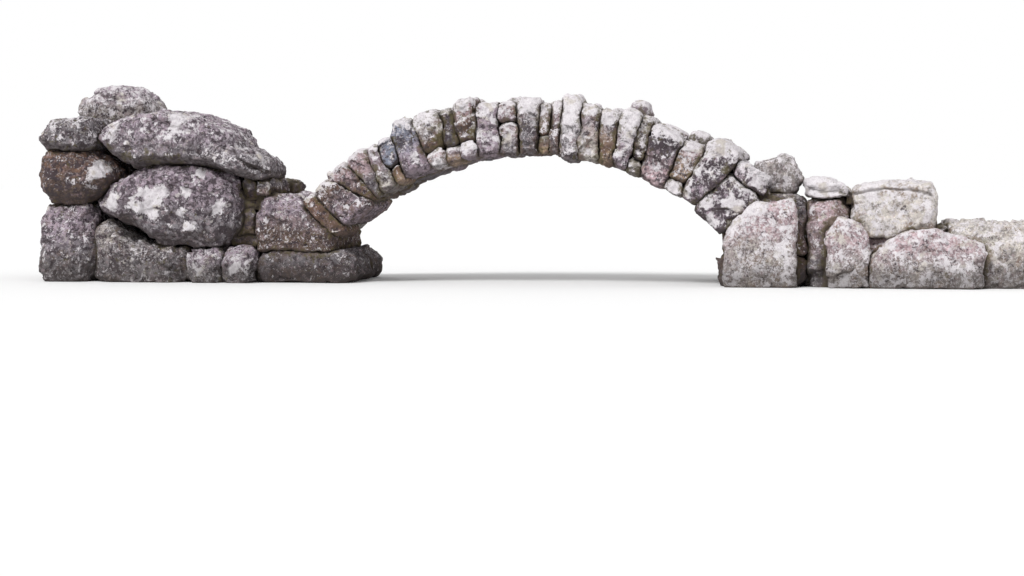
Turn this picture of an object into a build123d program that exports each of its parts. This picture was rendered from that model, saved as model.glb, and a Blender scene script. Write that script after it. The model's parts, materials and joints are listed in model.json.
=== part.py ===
"""Dry-stone arch footbridge of rough granite: a bare ring of wedge-shaped stones set on edge,
two rough abutments of boulders, and a short causeway of slabs on each bank.

+X runs along the bridge, +Y through the ring towards the far face, +Z up. The origin is at mid-span
and mid-width, on the level that the lowest footings rest on. Lengths are in millimetres and angles in
degrees from the crown.
"""

from build123d import *
from dataclasses import dataclass
from math import cos, radians, sin
import os

# The ring
SOFFIT_RADIUS = 3400
SPRINGING_ANGLE = 45
SPRINGING_HEIGHT = 600
RING_DEPTH = 640
RING_WIDTH = 1600
HEADER_JOINT = 14
BED_SPLIT_JOINT = 6

# The seats of the ring
SEAT_MARGIN = 60
SHOULDER_CHAMFER = 120
SKEWBACK_LENGTH = 980
FOOTING_HEIGHT = 400
FOOTING_PROUD = 40
LEFT_FOOTING_TOE = 290
RIGHT_FOOTING_TOE = 60

# Both banks
HALF_LENGTH = 6200
CAUSEWAY_WIDTH = 2100
OPEN_JOINT = 24

# The left bank, outward from the skewback
INNER_BASE_LENGTH = 390
MIDDLE_BASE_LENGTH = 460
OUTER_BASE_LENGTH = 1220
BASE_HEIGHT = 450
HEEL_HEIGHT = 760
BOULDER_SETBACK = 150
BOULDER_TOP = 1480
CAP_OVERHANG = 190
CAP_LENGTH = 2240
CAP_NOSE_BED = 1280
CAP_TOP = 2140
CAP_SEAT = 2050
CAP_PARTING = 0.48
END_BASE_HEIGHT = 990
END_BOULDER_NEST = 290
END_BOULDER_TOP = 1650
TOP_STONE_LENGTH = 1100
TOP_STONE_OVERHANG = 680
TOP_STONE_TOP = 2530
TOP_STONE_FRONT = 0
TOP_STONE_BACK = 900

# The right bank, outward from the skewback
UPRIGHT_LENGTH = 600
UPRIGHT_SETBACK = 60
UPRIGHT_TOP = 1600
UPRIGHT_FRONT = 100
UPRIGHT_BACK = 760
INNER_BANK_LENGTH = 540
INNER_BANK_HEIGHT = 1080
OUTER_BANK_LENGTH = 1000
OUTER_BANK_HEIGHT = 620
INNER_SLAB_TOP = 1310
INNER_SLAB_FACE = 720
OUTER_SLAB_TOP = 1260
END_BLOCK_HEIGHT = 760
TOE_SLAB_LENGTH = 890
TOE_SLAB_TOP = 1060
KERB_LENGTH = 1310
KERB_TOP = 710
KERB_SETBACK = 220
LOW_KERB_LENGTH = 500
LOW_KERB_TOP = 840

# How the weather rounds the ends of a stone: shares of the nose's length and of the stone's size
DRESSED_NOSE = ((0, 0.80), (0.35, 0.93), (1, 1))
ROUND_NOSE = ((0, 0.62), (0.2, 0.82), (0.5, 0.94), (1, 1))
RING_NOSE_LENGTH = 110
BOULDER_NOSE_LENGTH = 320
SLAB_NOSE_LENGTH = 70

ARCH_CENTRE = SPRINGING_HEIGHT - SOFFIT_RADIUS * cos(radians(SPRINGING_ANGLE))
SPRINGING_X = SOFFIT_RADIUS * sin(radians(SPRINGING_ANGLE))
SHOULDER_HEIGHT = ARCH_CENTRE + (SOFFIT_RADIUS + RING_DEPTH + SEAT_MARGIN) * cos(radians(SPRINGING_ANGLE))
RING_FACE = RING_WIDTH / 2
FOOTING_FACE = RING_FACE + FOOTING_PROUD
CAUSEWAY_FACE = CAUSEWAY_WIDTH / 2
BANK_LENGTH = HALF_LENGTH - SPRINGING_X
LEFT_BASE_END = SKEWBACK_LENGTH + INNER_BASE_LENGTH + MIDDLE_BASE_LENGTH + OUTER_BASE_LENGTH
CAP_START = SKEWBACK_LENGTH - CAP_OVERHANG
CAP_END = CAP_START + CAP_LENGTH
RIGHT_BANK_MIDDLE = SKEWBACK_LENGTH + INNER_BANK_LENGTH
RIGHT_BANK_END = RIGHT_BANK_MIDDLE + OUTER_BANK_LENGTH

# Outlines of the stones with a shape of their own: shares of their length, outward, and of their height
BOULDER_OUTLINE = (
    (0.12, 0), (0.55, 0), (0.74, 0.24), (0.97, 0.40), (1, 0.52), (0.93, 0.68), (0.78, 0.89),
    (0.60, 1), (0.36, 1), (0.18, 0.92), (0.06, 0.78), (0, 0.53), (0.02, 0.22),
)
FAR_BOULDER_START = 0.12
FAR_BOULDER_OUTLINE = tuple((FAR_BOULDER_START + (1 - FAR_BOULDER_START) * u, v) for u, v in BOULDER_OUTLINE)
CAP_SEAT_SHARE = (BOULDER_TOP - CAP_NOSE_BED) / (CAP_TOP - CAP_NOSE_BED)
CAP_OUTLINE = (
    (0.03, 0), (0.14, 0.02), (0.30, 0.18), (0.44, CAP_SEAT_SHARE), (0.72, CAP_SEAT_SHARE), (0.79, 0.19),
    (0.86, 0.24), (0.94, 0.42), (1, 0.56), (0.97, 0.72), (0.89, 0.87), (0.74, 0.96), (0.58, 1), (0.40, 0.92),
    (0.22, 0.73), (0.17, 0.58), (0.15, 0.46), (0.09, 0.42), (0.02, 0.28), (0, 0.13),
)
CAP_REST_SHARE = (CAP_SEAT - CAP_NOSE_BED) / (CAP_TOP - CAP_NOSE_BED)
FAR_CAP_OUTLINE = (
    (0.24, 0.12), (0.34, CAP_SEAT_SHARE), (0.72, CAP_SEAT_SHARE), (0.95, 0.42), (1, 0.56),
    (0.98, CAP_REST_SHARE), (0.52, CAP_REST_SHARE), (0.36, 0.74), (0.27, 0.48), (0.22, 0.26),
)
END_BOULDER_OUTLINE = (
    (0.42, 0), (0.84, 0), (0.97, 0.22), (1, 0.52), (0.96, 0.84), (0.84, 1), (0.40, 1), (0.13, 0.77),
    (0, 0.50), (0.17, 0.24),
)
HEELED_BASE_OUTLINE = (
    (0.03, 0), (0.97, 0), (1, 0.15), (1, 0.90), (0.90, 1), (0.80, 0.92), (0.62, 0.70),
    (0.42, BASE_HEIGHT / HEEL_HEIGHT), (0.05, BASE_HEIGHT / HEEL_HEIGHT), (0, 0.45), (0, 0.10),
)
TAIL_SLAB_OUTLINE = ((0.05, 0), (0.84, 0), (1, 0.30), (0.74, 0.95), (0.45, 1), (0.06, 0.96), (0, 0.45))
TOP_STONE_OUTLINE = (
    (0.04, 0), (0.90, 0), (1, 0.25), (0.93, 0.55), (0.74, 0.86), (0.48, 1), (0.23, 0.86), (0.05, 0.56),
    (0, 0.24),
)
UPRIGHT_OUTLINE = (
    (0.32, 0), (0.84, 0), (0.95, 0.18), (1, 0.42), (0.92, 0.64), (0.82, 0.94), (0.57, 1), (0.28, 0.82),
    (0.06, 0.79), (0, 0.66), (0.14, 0.38),
)
INNER_SLAB_OUTLINE = (
    (0, 0), (0.96, 0), (1, 0.22), (0.88, 0.50), (0.68, 0.72), (0.52, 0.96), (0.12, 1), (0, 0.85),
)
OUTER_SLAB_OUTLINE = (
    (0.03, 0), (0.94, 0), (0.99, 0.14), (1, 0.74), (0.95, 0.98), (0.62, 1), (0.22, 0.97), (0.05, 0.90),
    (0, 0.78), (0, 0.08),
)
TOE_SLAB_OUTLINE = (
    (0.02, 0), (0.98, 0), (1, 0.84), (0.92, 1), (0.63, 0.96), (0.39, 0.94), (0.17, 0.74), (0, 0.55),
)
KERB_OUTLINE = (
    (0.01, 0), (0.99, 0), (1, 0.74), (0.78, 0.89), (0.52, 1), (0.34, 0.96), (0.13, 0.76), (0, 0.50),
)
LOW_KERB_OUTLINE = ((0.03, 0), (0.97, 0), (1, 0.60), (0.82, 0.94), (0.30, 1), (0, 0.78))


def vary(seed, low, high):
    """A repeatable value between low and high, so that no two neighbours match."""
    return low + (high - low) * ((seed * 0.618034 + 0.37) % 1)


def between(start, end, share):
    """The value or the point that lies a share of the way from start to end."""
    if isinstance(start, tuple):
        return tuple(between(a, b, share) for a, b in zip(start, end))
    return start + (end - start) * share


def polar(radius, angle):
    """The place on the face of the bridge at a radius from the arch's centre and an angle from its crown."""
    return radius * sin(radians(angle)), ARCH_CENTRE + radius * cos(radians(angle))


def sections_of(outline, front, back, pivot, nose, front_nose, back_nose):
    """The corners of a stone, section by section from front to back. A section is its outline, drawn smaller
    about the pivot towards an end that has a nose, as the profile of the nose says."""
    stations = [(front + front_nose * share, size) for share, size in nose] if front_nose else [(front, 1)]
    tail = [(back - back_nose * share, size) for share, size in reversed(nose)] if back_nose else [(back, 1)]
    sections = []
    for depth, size in stations + tail:
        corners = [between(pivot, point, size) for point in outline]
        sections.append([(x, depth, z) for x, z in corners])
    return sections


def lay_stone(outline, front, back, pivot, nose, front_nose=0, back_nose=0):
    """Adds one stone to the piece in hand: a flat face for each side between two sections, as split rock has,
    and one for each end."""
    sections = sections_of(outline, front, back, pivot, nose, front_nose, back_nose)
    faces = [Face(Wire.make_polygon(sections[0])), Face(Wire.make_polygon(sections[-1]))]
    for section, following in zip(sections, sections[1:]):
        beside = section[1:] + section[:1]
        beyond = following[1:] + following[:1]
        faces += [Face(Wire.make_polygon(side)) for side in zip(section, beside, beyond, following)]
    add(Solid(Shell(faces)))


def finish_piece(part, name):
    """Labels a finished piece and writes its file."""
    part.label = name
    export_step(part, f"parts/{name}.step")


@dataclass
class Course:
    """One course of the ring. Foot and head are its widths in degrees at the soffit and at the back, before
    the courses are fitted to the arch. Rise is how far its head stands above the ring's back, drop how far
    its foot hangs below the soffit, proud how far its nose stands out of the face, and far_rise how far its
    far stone stands up. Crown and toe say how much the start and end corners of the head and foot are worn
    down. Split is the share of its depth where a bed divides the near stone in two."""

    foot: float
    head: float
    rise: float = 0
    drop: float = 0
    proud: float = 0
    far_rise: float = 0
    crown: tuple = (60, 60)
    toe: tuple = (35, 35)
    split: float = 0


# From the left springing to the right one, as they stand in the near face
COURSES = {
    "left_voussoir_01": Course(3.0, 2.6, rise=-60, drop=90, proud=20, crown=(90, 60), toe=(60, 60)),
    "left_voussoir_02": Course(7.5, 3.2, rise=-80, drop=60, proud=40, crown=(60, 90), toe=(40, 50)),
    "left_voussoir_03": Course(1.5, 4.9, rise=-20, proud=-20),
    "left_voussoir_04": Course(1.5, 4.8, rise=-10, drop=-10, proud=10, crown=(90, 50)),
    "left_voussoir_05": Course(3.5, 1.5, rise=-50, proud=20, crown=(60, 20)),
    "left_voussoir_06": Course(2.0, 3.0, rise=-40, drop=-10, crown=(60, 40), split=0.40),
    "left_voussoir_07": Course(6.5, 4.5, rise=90, drop=-30, proud=10, crown=(100, 50), toe=(110, 20)),
    "left_voussoir_08": Course(3.0, 5.0, rise=70, proud=30, crown=(70, 60), far_rise=90, split=0.30),
    "left_voussoir_09": Course(3.5, 2.5, rise=40, proud=-20, crown=(40, 40), far_rise=80, split=0.30),
    "left_voussoir_10": Course(3.0, 4.0, rise=115, proud=60, crown=(130, 40), toe=(20, 20), split=0.28),
    "left_voussoir_11": Course(4.8, 4.0, rise=20, drop=10, proud=20, crown=(30, 30), far_rise=30),
    "left_voussoir_12": Course(4.0, 3.5, rise=-15, drop=20, crown=(30, 30), far_rise=60, split=0.63),
    "keystone": Course(3.7, 4.1, rise=50, drop=10, proud=30, crown=(80, 100), toe=(40, 40)),
    "right_voussoir_11": Course(2.5, 1.9, rise=-20, proud=-20, crown=(60, 20), toe=(60, 60), split=0.35),
    "right_voussoir_10": Course(2.2, 1.9, rise=15, drop=-10, crown=(20, 20)),
    "right_voussoir_09": Course(3.2, 3.2, rise=110, drop=55, proud=60, crown=(50, 60), toe=(70, 50)),
    "right_voussoir_08": Course(4.6, 3.6, rise=50, proud=20, crown=(30, 70), toe=(40, 30)),
    "right_voussoir_07": Course(3.0, 3.8, rise=25, proud=10, crown=(40, 30), far_rise=60),
    "right_voussoir_06": Course(3.0, 3.2, rise=90, drop=-20, proud=40, crown=(40, 30), far_rise=250),
    "right_voussoir_05": Course(3.0, 2.2, rise=90, proud=-20, crown=(20, 40), far_rise=60, split=0.26),
    "right_voussoir_04": Course(5.5, 6.1, rise=50, proud=15, crown=(70, 60), far_rise=90),
    "right_voussoir_03": Course(3.9, 3.9, rise=40, drop=-20, crown=(60, 30), far_rise=215, split=0.24),
    "right_voussoir_02": Course(2.8, 5.6, rise=255, drop=-40, proud=60, crown=(120, 180), far_rise=270),
    "right_voussoir_01": Course(8.8, 7.0, rise=225, proud=40, crown=(50, 190), toe=(80, 90), split=0.74),
}


def bed_joint(foot_angle, head_angle, share):
    """A place on the joint between two courses, by its share of the ring's depth."""
    foot = polar(SOFFIT_RADIUS, foot_angle)
    head = polar(SOFFIT_RADIUS + RING_DEPTH, head_angle)
    return between(foot, head, share)


def wedge(start, end, inner, outer, toe, crown):
    """The outline of a ring stone between two bed joints, from inner to outer, which are measured from the
    soffit. Toe and crown give how far its corners are worn down beside each joint."""

    def at(across, height):
        share = height / RING_DEPTH
        return between(bed_joint(*start, share), bed_joint(*end, share), across)

    return [
        at(0, inner + toe[0]),
        at(0.16, inner),
        at(0.84, inner),
        at(1, inner + toe[1]),
        at(1, outer - crown[1]),
        at(0.78, outer),
        at(0.22, outer),
        at(0, outer - crown[0]),
    ]


def lay_ring_stone(outline, front, back, seed, **noses):
    """Adds one stone of the ring, its nose turned a little off its middle."""
    start, end = outline[0], outline[3]
    pivot = between(between(start, end, vary(seed, 0.4, 0.6)), outline[5], vary(seed + 3, 0.4, 0.6))
    lay_stone(outline, front, back, pivot, DRESSED_NOSE, **noses)


def build_course(name, course, start, end, seed):
    """Builds one course: its near stone, divided where it has a bed, and its far stone."""
    parting = RING_WIDTH * vary(seed, -0.12, 0.12)
    near = (-RING_FACE - course.proud, parting - HEADER_JOINT / 2)
    far = (parting + HEADER_JOINT / 2, RING_FACE)
    inner = -course.drop
    outer = RING_DEPTH + course.rise
    with BuildPart() as piece:
        if course.split:
            bed = between(inner, outer, course.split)
            foot = wedge(start, end, inner, bed - BED_SPLIT_JOINT / 2, course.toe, (25, 25))
            head = wedge(start, end, bed + BED_SPLIT_JOINT / 2, outer, (25, 25), course.crown)
            lay_ring_stone(foot, *near, seed, front_nose=RING_NOSE_LENGTH)
            lay_ring_stone(head, *near, seed + 1, front_nose=RING_NOSE_LENGTH)
        else:
            whole = wedge(start, end, inner, outer, course.toe, course.crown)
            lay_ring_stone(whole, *near, seed, front_nose=RING_NOSE_LENGTH)
        far_inner = vary(seed + 7, -15, 25)
        far_outer = RING_DEPTH + course.far_rise + vary(seed + 11, -35, 30)
        far_toe = (vary(seed + 13, 20, 60), vary(seed + 17, 20, 60))
        far_crown = (vary(seed + 19, 30, 100), vary(seed + 23, 30, 100))
        far_stone = wedge(start, end, far_inner, far_outer, far_toe, far_crown)
        lay_ring_stone(far_stone, *far, seed + 4, back_nose=RING_NOSE_LENGTH)
    finish_piece(piece.part, name)


def build_ring():
    """Builds the courses one after another, from the left springing to the right one."""
    foot_fit = 2 * SPRINGING_ANGLE / sum(course.foot for course in COURSES.values())
    head_fit = 2 * SPRINGING_ANGLE / sum(course.head for course in COURSES.values())
    start = (-SPRINGING_ANGLE, -SPRINGING_ANGLE)
    for seed, (name, course) in enumerate(COURSES.items()):
        end = (start[0] + course.foot * foot_fit, start[1] + course.head * head_fit)
        build_course(name, course, start, end, seed)
        start = end


def place(side, outline, near, far, bed, top):
    """An outline given in shares, put on a bank: near and far are measured outward from the springing, and
    side is -1 on the left bank and 1 on the right one."""
    return [(side * (SPRINGING_X + between(near, far, u)), between(bed, top, v)) for u, v in outline]


def rough_block(seed):
    """The outline of a squarish stone with a flat bed, a flat top and uneven worn corners."""
    return (
        (vary(seed, 0.03, 0.08), 0),
        (vary(seed + 1, 0.92, 0.97), 0),
        (1, vary(seed + 2, 0.15, 0.3)),
        (1, vary(seed + 4, 0.65, 0.85)),
        (vary(seed + 5, 0.84, 0.93), 1),
        (vary(seed + 6, 0.07, 0.16), 1),
        (0, vary(seed + 7, 0.65, 0.85)),
        (0, vary(seed + 9, 0.15, 0.3)),
    )


@dataclass
class Block:
    """The box of a bank stone: near and far are measured outward from the springing, bed and top upward, and
    front and back are its faces. Waist is the share of its height about which its ends are worn round."""

    near: float
    far: float
    bed: float
    top: float
    front: float = -CAUSEWAY_FACE
    back: float = CAUSEWAY_FACE
    waist: float = 0.0

    def lay(self, side, outline, front, back, **ends):
        """Adds one stone that fills the block from front to back to the piece in hand."""
        middle = side * (SPRINGING_X + between(self.near, self.far, 0.5))
        pivot = (middle, between(self.bed, self.top, self.waist))
        stone = place(side, outline, self.near, self.far, self.bed, self.top)
        lay_stone(stone, front, back, pivot, **ends)


def build_pair(name, side, block, outlines, nose=ROUND_NOSE, reach=BOULDER_NOSE_LENGTH, parting=0.5):
    """Builds a piece of a bank as a near stone and a far stone, with an open joint between them."""
    near_outline, far_outline = outlines
    middle = between(block.front, block.back, parting)
    with BuildPart() as piece:
        block.lay(side, near_outline, block.front, middle - OPEN_JOINT / 2, nose=nose, front_nose=reach)
        block.lay(side, far_outline, middle + OPEN_JOINT / 2, block.back, nose=nose, back_nose=reach)
    finish_piece(piece.part, name)


def build_blocks(name, side, block, seed, **noses):
    """Builds a piece of a bank as two squarish stones, a near one and a far one."""
    outlines = (rough_block(seed), rough_block(seed + 3))
    build_pair(name, side, block, outlines, parting=vary(seed, 0.44, 0.56), **noses)


def build_single(name, side, block, outline, nose, reach):
    """Builds a piece of a bank as one stone, worn round at both of its ends."""
    with BuildPart() as piece:
        block.lay(side, outline, block.front, block.back, nose=nose, front_nose=reach, back_nose=reach)
    finish_piece(piece.part, name)


def build_seat(prefix, side, toe, seed):
    """Builds the footing under one end of the ring, and the sloping stones on it that seat the ring."""
    footing = Block(-toe, SKEWBACK_LENGTH, 0, FOOTING_HEIGHT, -FOOTING_FACE, FOOTING_FACE)
    build_blocks(f"{prefix}_footing", side, footing, seed, nose=DRESSED_NOSE, reach=RING_NOSE_LENGTH)
    foot = polar(SOFFIT_RADIUS, side * SPRINGING_ANGLE)
    head = polar(SOFFIT_RADIUS + RING_DEPTH + SEAT_MARGIN, side * SPRINGING_ANGLE)
    outer = side * (SPRINGING_X + SKEWBACK_LENGTH)
    outline = [
        (foot[0], FOOTING_HEIGHT),
        foot,
        head,
        (outer - side * SHOULDER_CHAMFER, head[1]),
        (outer, head[1] - SHOULDER_CHAMFER),
        (outer, FOOTING_HEIGHT),
    ]
    pivot = (between(foot[0], outer, 0.5), FOOTING_HEIGHT)
    parting = RING_WIDTH * vary(seed, -0.12, 0.12)
    near = (-FOOTING_FACE, parting - OPEN_JOINT / 2)
    far = (parting + OPEN_JOINT / 2, FOOTING_FACE)
    with BuildPart() as skewback:
        lay_stone(outline, *near, pivot, DRESSED_NOSE, front_nose=RING_NOSE_LENGTH)
        lay_stone(outline, *far, pivot, DRESSED_NOSE, back_nose=RING_NOSE_LENGTH)
    finish_piece(skewback.part, f"{prefix}_skewback")


def build_left_bases():
    """Builds the low stones that the left bank's boulders stand on."""
    inner_end = SKEWBACK_LENGTH + INNER_BASE_LENGTH
    middle_end = inner_end + MIDDLE_BASE_LENGTH
    build_blocks("left_base_stone_inner", -1, Block(SKEWBACK_LENGTH, inner_end, 0, BASE_HEIGHT), 3)
    build_blocks("left_base_stone_middle", -1, Block(inner_end, middle_end, 0, BASE_HEIGHT), 4)
    heeled = Block(middle_end, LEFT_BASE_END, 0, HEEL_HEIGHT)
    build_pair("left_base_stone_outer", -1, heeled, (HEELED_BASE_OUTLINE, HEELED_BASE_OUTLINE), parting=0.47)
    build_blocks("left_end_base_stone", -1, Block(LEFT_BASE_END, BANK_LENGTH, 0, END_BASE_HEIGHT), 9)


def build_left_boulders():
    """Builds the boulders and slabs that are stacked on the left bank's bases."""
    boulder = Block(SKEWBACK_LENGTH + BOULDER_SETBACK, LEFT_BASE_END, BASE_HEIGHT, BOULDER_TOP, waist=0.45)
    build_pair("left_boulder", -1, boulder, (BOULDER_OUTLINE, FAR_BOULDER_OUTLINE), parting=0.54)
    shoulder = Block(CAP_START, SKEWBACK_LENGTH, SHOULDER_HEIGHT, CAP_NOSE_BED, -FOOTING_FACE, FOOTING_FACE)
    build_blocks("left_shoulder_stone", -1, shoulder, 7, nose=DRESSED_NOSE, reach=RING_NOSE_LENGTH)
    cap = Block(CAP_START, CAP_END, CAP_NOSE_BED, CAP_TOP, waist=0.70)
    cap_outlines = (CAP_OUTLINE, FAR_CAP_OUTLINE)
    build_pair("left_cap_slab", -1, cap, cap_outlines, nose=DRESSED_NOSE, parting=CAP_PARTING)
    end_start = LEFT_BASE_END - END_BOULDER_NEST
    end_boulder = Block(end_start, BANK_LENGTH, END_BASE_HEIGHT, END_BOULDER_TOP, waist=0.5)
    build_pair("left_end_boulder", -1, end_boulder, (END_BOULDER_OUTLINE, END_BOULDER_OUTLINE), parting=0.46)
    tail = Block(CAP_END, BANK_LENGTH, END_BOULDER_TOP, CAP_SEAT, waist=0.5)
    build_pair("left_tail_slab", -1, tail, (TAIL_SLAB_OUTLINE, TAIL_SLAB_OUTLINE), parting=0.55)
    top_end = CAP_END + TOP_STONE_OVERHANG
    top_stone = Block(top_end - TOP_STONE_LENGTH, top_end, CAP_SEAT, TOP_STONE_TOP)
    top_stone.front = TOP_STONE_FRONT
    top_stone.back = TOP_STONE_BACK
    build_single("left_top_stone", -1, top_stone, TOP_STONE_OUTLINE, ROUND_NOSE, BOULDER_NOSE_LENGTH)


def build_right_bank():
    """Builds the causeway of slabs on the right bank, and what carries it."""
    inner_bank = Block(SKEWBACK_LENGTH, RIGHT_BANK_MIDDLE, 0, INNER_BANK_HEIGHT, -FOOTING_FACE, FOOTING_FACE)
    build_blocks("right_bank_stone_inner", 1, inner_bank, 16)
    outer_bank = Block(RIGHT_BANK_MIDDLE, RIGHT_BANK_END, 0, OUTER_BANK_HEIGHT, -FOOTING_FACE, FOOTING_FACE)
    build_blocks("right_base_stone_outer", 1, outer_bank, 18)
    inner_slab = Block(SKEWBACK_LENGTH, RIGHT_BANK_MIDDLE, INNER_BANK_HEIGHT, INNER_SLAB_TOP)
    inner_slab.front = -INNER_SLAB_FACE
    inner_slab.back = INNER_SLAB_FACE
    dressed = {"nose": DRESSED_NOSE, "reach": RING_NOSE_LENGTH}
    build_single("right_causeway_slab_inner", 1, inner_slab, INNER_SLAB_OUTLINE, **dressed)
    outer_slab = Block(RIGHT_BANK_MIDDLE, RIGHT_BANK_END, OUTER_BANK_HEIGHT, OUTER_SLAB_TOP)
    outer_slab.front = -FOOTING_FACE
    outer_slab.back = FOOTING_FACE
    outlines = (OUTER_SLAB_OUTLINE, OUTER_SLAB_OUTLINE)
    build_pair("right_causeway_slab_outer", 1, outer_slab, outlines, parting=0.55, **dressed)
    end_block = Block(RIGHT_BANK_END, BANK_LENGTH, 0, END_BLOCK_HEIGHT, -FOOTING_FACE, FOOTING_FACE)
    build_blocks("right_end_stone", 1, end_block, 20)
    upright_far = SKEWBACK_LENGTH - UPRIGHT_SETBACK
    upright = Block(upright_far - UPRIGHT_LENGTH, upright_far, SHOULDER_HEIGHT, UPRIGHT_TOP)
    upright.front = UPRIGHT_FRONT
    upright.back = UPRIGHT_BACK
    build_single("right_upright_boulder", 1, upright, UPRIGHT_OUTLINE, ROUND_NOSE, RING_NOSE_LENGTH)


def build_right_facings():
    """Builds the slabs set on edge along the foot of the right bank, near and far."""
    kerb_start = RIGHT_BANK_MIDDLE + KERB_SETBACK
    low_kerb_end = kerb_start - OPEN_JOINT
    facings = (
        (Block(0, TOE_SLAB_LENGTH, 0, TOE_SLAB_TOP), TOE_SLAB_OUTLINE),
        (Block(low_kerb_end - LOW_KERB_LENGTH, low_kerb_end, 0, LOW_KERB_TOP), LOW_KERB_OUTLINE),
        (Block(kerb_start, kerb_start + KERB_LENGTH, 0, KERB_TOP), KERB_OUTLINE),
    )
    near = (-CAUSEWAY_FACE, -FOOTING_FACE)
    far = (FOOTING_FACE, CAUSEWAY_FACE)
    with BuildPart() as slabs:
        for block, outline in facings:
            block.lay(1, outline, *near, nose=DRESSED_NOSE, front_nose=SLAB_NOSE_LENGTH)
            block.lay(1, outline, *far, nose=DRESSED_NOSE, back_nose=SLAB_NOSE_LENGTH)
    finish_piece(slabs.part, "right_facing_slabs")


os.makedirs("parts", exist_ok=True)
build_ring()
build_seat("left", -1, LEFT_FOOTING_TOE, 1)
build_left_bases()
build_left_boulders()
build_seat("right", 1, RIGHT_FOOTING_TOE, 13)
build_right_bank()
build_right_facings()
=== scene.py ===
"""The weathered granite, the light and the camera of a small dry-stone arch footbridge.

Lengths are in metres. +X runs along the bridge, +Y through it to the far face, +Z up.
"""

import json
from collections import namedtuple
from math import cos, radians, sin
import bmesh
import bpy
import numpy as np
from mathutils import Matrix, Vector
from mathutils.bvhtree import BVHTree


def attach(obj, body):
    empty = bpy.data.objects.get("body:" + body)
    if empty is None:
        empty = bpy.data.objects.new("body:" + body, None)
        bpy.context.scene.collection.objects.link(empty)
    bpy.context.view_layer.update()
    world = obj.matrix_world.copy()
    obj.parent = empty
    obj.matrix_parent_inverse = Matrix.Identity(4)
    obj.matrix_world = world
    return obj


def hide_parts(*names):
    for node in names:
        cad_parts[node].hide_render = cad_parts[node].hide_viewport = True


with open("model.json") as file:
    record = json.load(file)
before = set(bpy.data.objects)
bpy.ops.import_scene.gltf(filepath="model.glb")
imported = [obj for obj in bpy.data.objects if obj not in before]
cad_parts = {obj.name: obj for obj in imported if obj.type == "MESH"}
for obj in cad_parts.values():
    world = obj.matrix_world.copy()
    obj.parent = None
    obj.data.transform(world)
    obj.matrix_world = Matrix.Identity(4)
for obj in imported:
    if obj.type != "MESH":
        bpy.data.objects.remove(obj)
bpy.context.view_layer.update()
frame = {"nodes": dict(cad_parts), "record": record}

# The viewpoint, as it was fitted to the photograph. The camera stands off a point on the ring's near face.
CAMERA_DISTANCE = 24.0
CAMERA_TURN = radians(9)
CAMERA_DIP = radians(3.2)
CAMERA_HEIGHT = 1.3
AIM_ALONG = -0.157
RING_FACE = -0.8
SENSOR_WIDTH = 36.0
LENS = 69.2
VIEW_REACH = 400

# The light and the floor
SKY_STRENGTH = 0.6
SUN_STRENGTH = 2.0
SUN_SOFTNESS = radians(20)
SUN_TILT = radians(40)
SUN_TURN = radians(-30)
FLOOR_SIZE = 400
FLOOR_WHITE = (0.93, 0.93, 0.93, 1)

# The arch, for the colours that run across the ring
ARCH_CENTRE_HEIGHT = -1.804

# A stone whose middle lies less than this behind the nearest one's belongs to the near row
NEAR_ROW = 0.35

# How finely the stones are worked, and how far their arrises are worn round
RING_VOXEL = 0.016
BANK_VOXEL = 0.023
HIDDEN_VOXEL = 0.036
RING_WEAR = 0.011
BANK_WEAR = 0.018

# The smoothing that wears them: how strong a pass is, how many passes a wear of one voxel takes, and the
# fewest passes
WEAR_PASS = 0.5
PASSES_PER_WEAR = 2.2
FEWEST_PASSES = 2

# The stones that are worn rounder than their neighbours
WEAR = {"left_boulder": 0.045, "left_top_stone": 0.030, "left_end_boulder": 0.030}

# How strongly the faces of the ring and of the banks are broken up, and the pieces where that differs
RING_RELIEF = 0.6
BANK_RELIEF = 0.8
RELIEF = {
    "left_cap_slab": 0.6,
    "left_top_stone": 0.65,
    "right_facing_slabs": 0.45,
    "right_causeway_slab_inner": 0.5,
    "right_causeway_slab_outer": 0.4,
    "right_upright_boulder": 0.35,
    "right_footing": 0.4,
    "right_skewback": 0.5,
}

# How far from a neighbour a place counts as in the joint, and within what two corners are one
JOINT_REACH = 0.10
SAME_POINT = 1e-5

# Each stone reads the patterns from a place of its own, this far away at most
OWN_PLACE_REACH = 20
DRAW_SEED = 7

# The small stones wedged into the banks' gaps: left, right, near side, far side, bed and top in metres
WEDGED = {
    "left_packing_stones": [
        (-3.75, -3.38, -0.72, -0.40, 0.43, 0.58),
        (-3.62, -3.41, -0.72, -0.40, 0.57, 0.91),
        (-3.57, -3.36, -0.72, -0.40, 0.90, 1.03),
        (-3.61, -3.38, -0.72, -0.40, 1.02, 1.28),
        (-3.40, -3.16, -0.72, -0.40, 0.95, 1.11),
        (-3.72, -3.38, 0.40, 0.72, 0.43, 0.70),
        (-3.58, -3.41, 0.40, 0.72, 0.69, 0.98),
        (-3.60, -3.38, 0.36, 0.70, 0.97, 1.27),
        (-3.40, -3.16, 0.40, 0.72, 0.93, 1.11),
        (-3.66, -3.40, 0.10, 0.66, 1.22, 1.46),
        (-3.42, -3.14, 0.16, 0.70, 1.02, 1.24),
    ],
    "right_packing_stones": [
        (4.86, 5.02, -0.72, -0.40, 0.60, 0.73),
        (3.85, 3.99, -0.72, -0.40, 1.00, 1.13),
        (2.79, 2.96, -0.72, -0.40, 1.03, 1.16),
        (3.85, 4.00, 0.40, 0.72, 1.00, 1.13),
        (2.78, 2.96, 0.40, 0.72, 1.02, 1.16),
    ],
}
WEDGE_SLOT = "footing_granite"
WEDGE_ROUGHNESS = 0.14
WEDGE_FACES = [[0, 1, 3, 2], [4, 6, 7, 5], [0, 4, 5, 1], [2, 3, 7, 6], [0, 2, 6, 4], [1, 5, 7, 3]]

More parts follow.
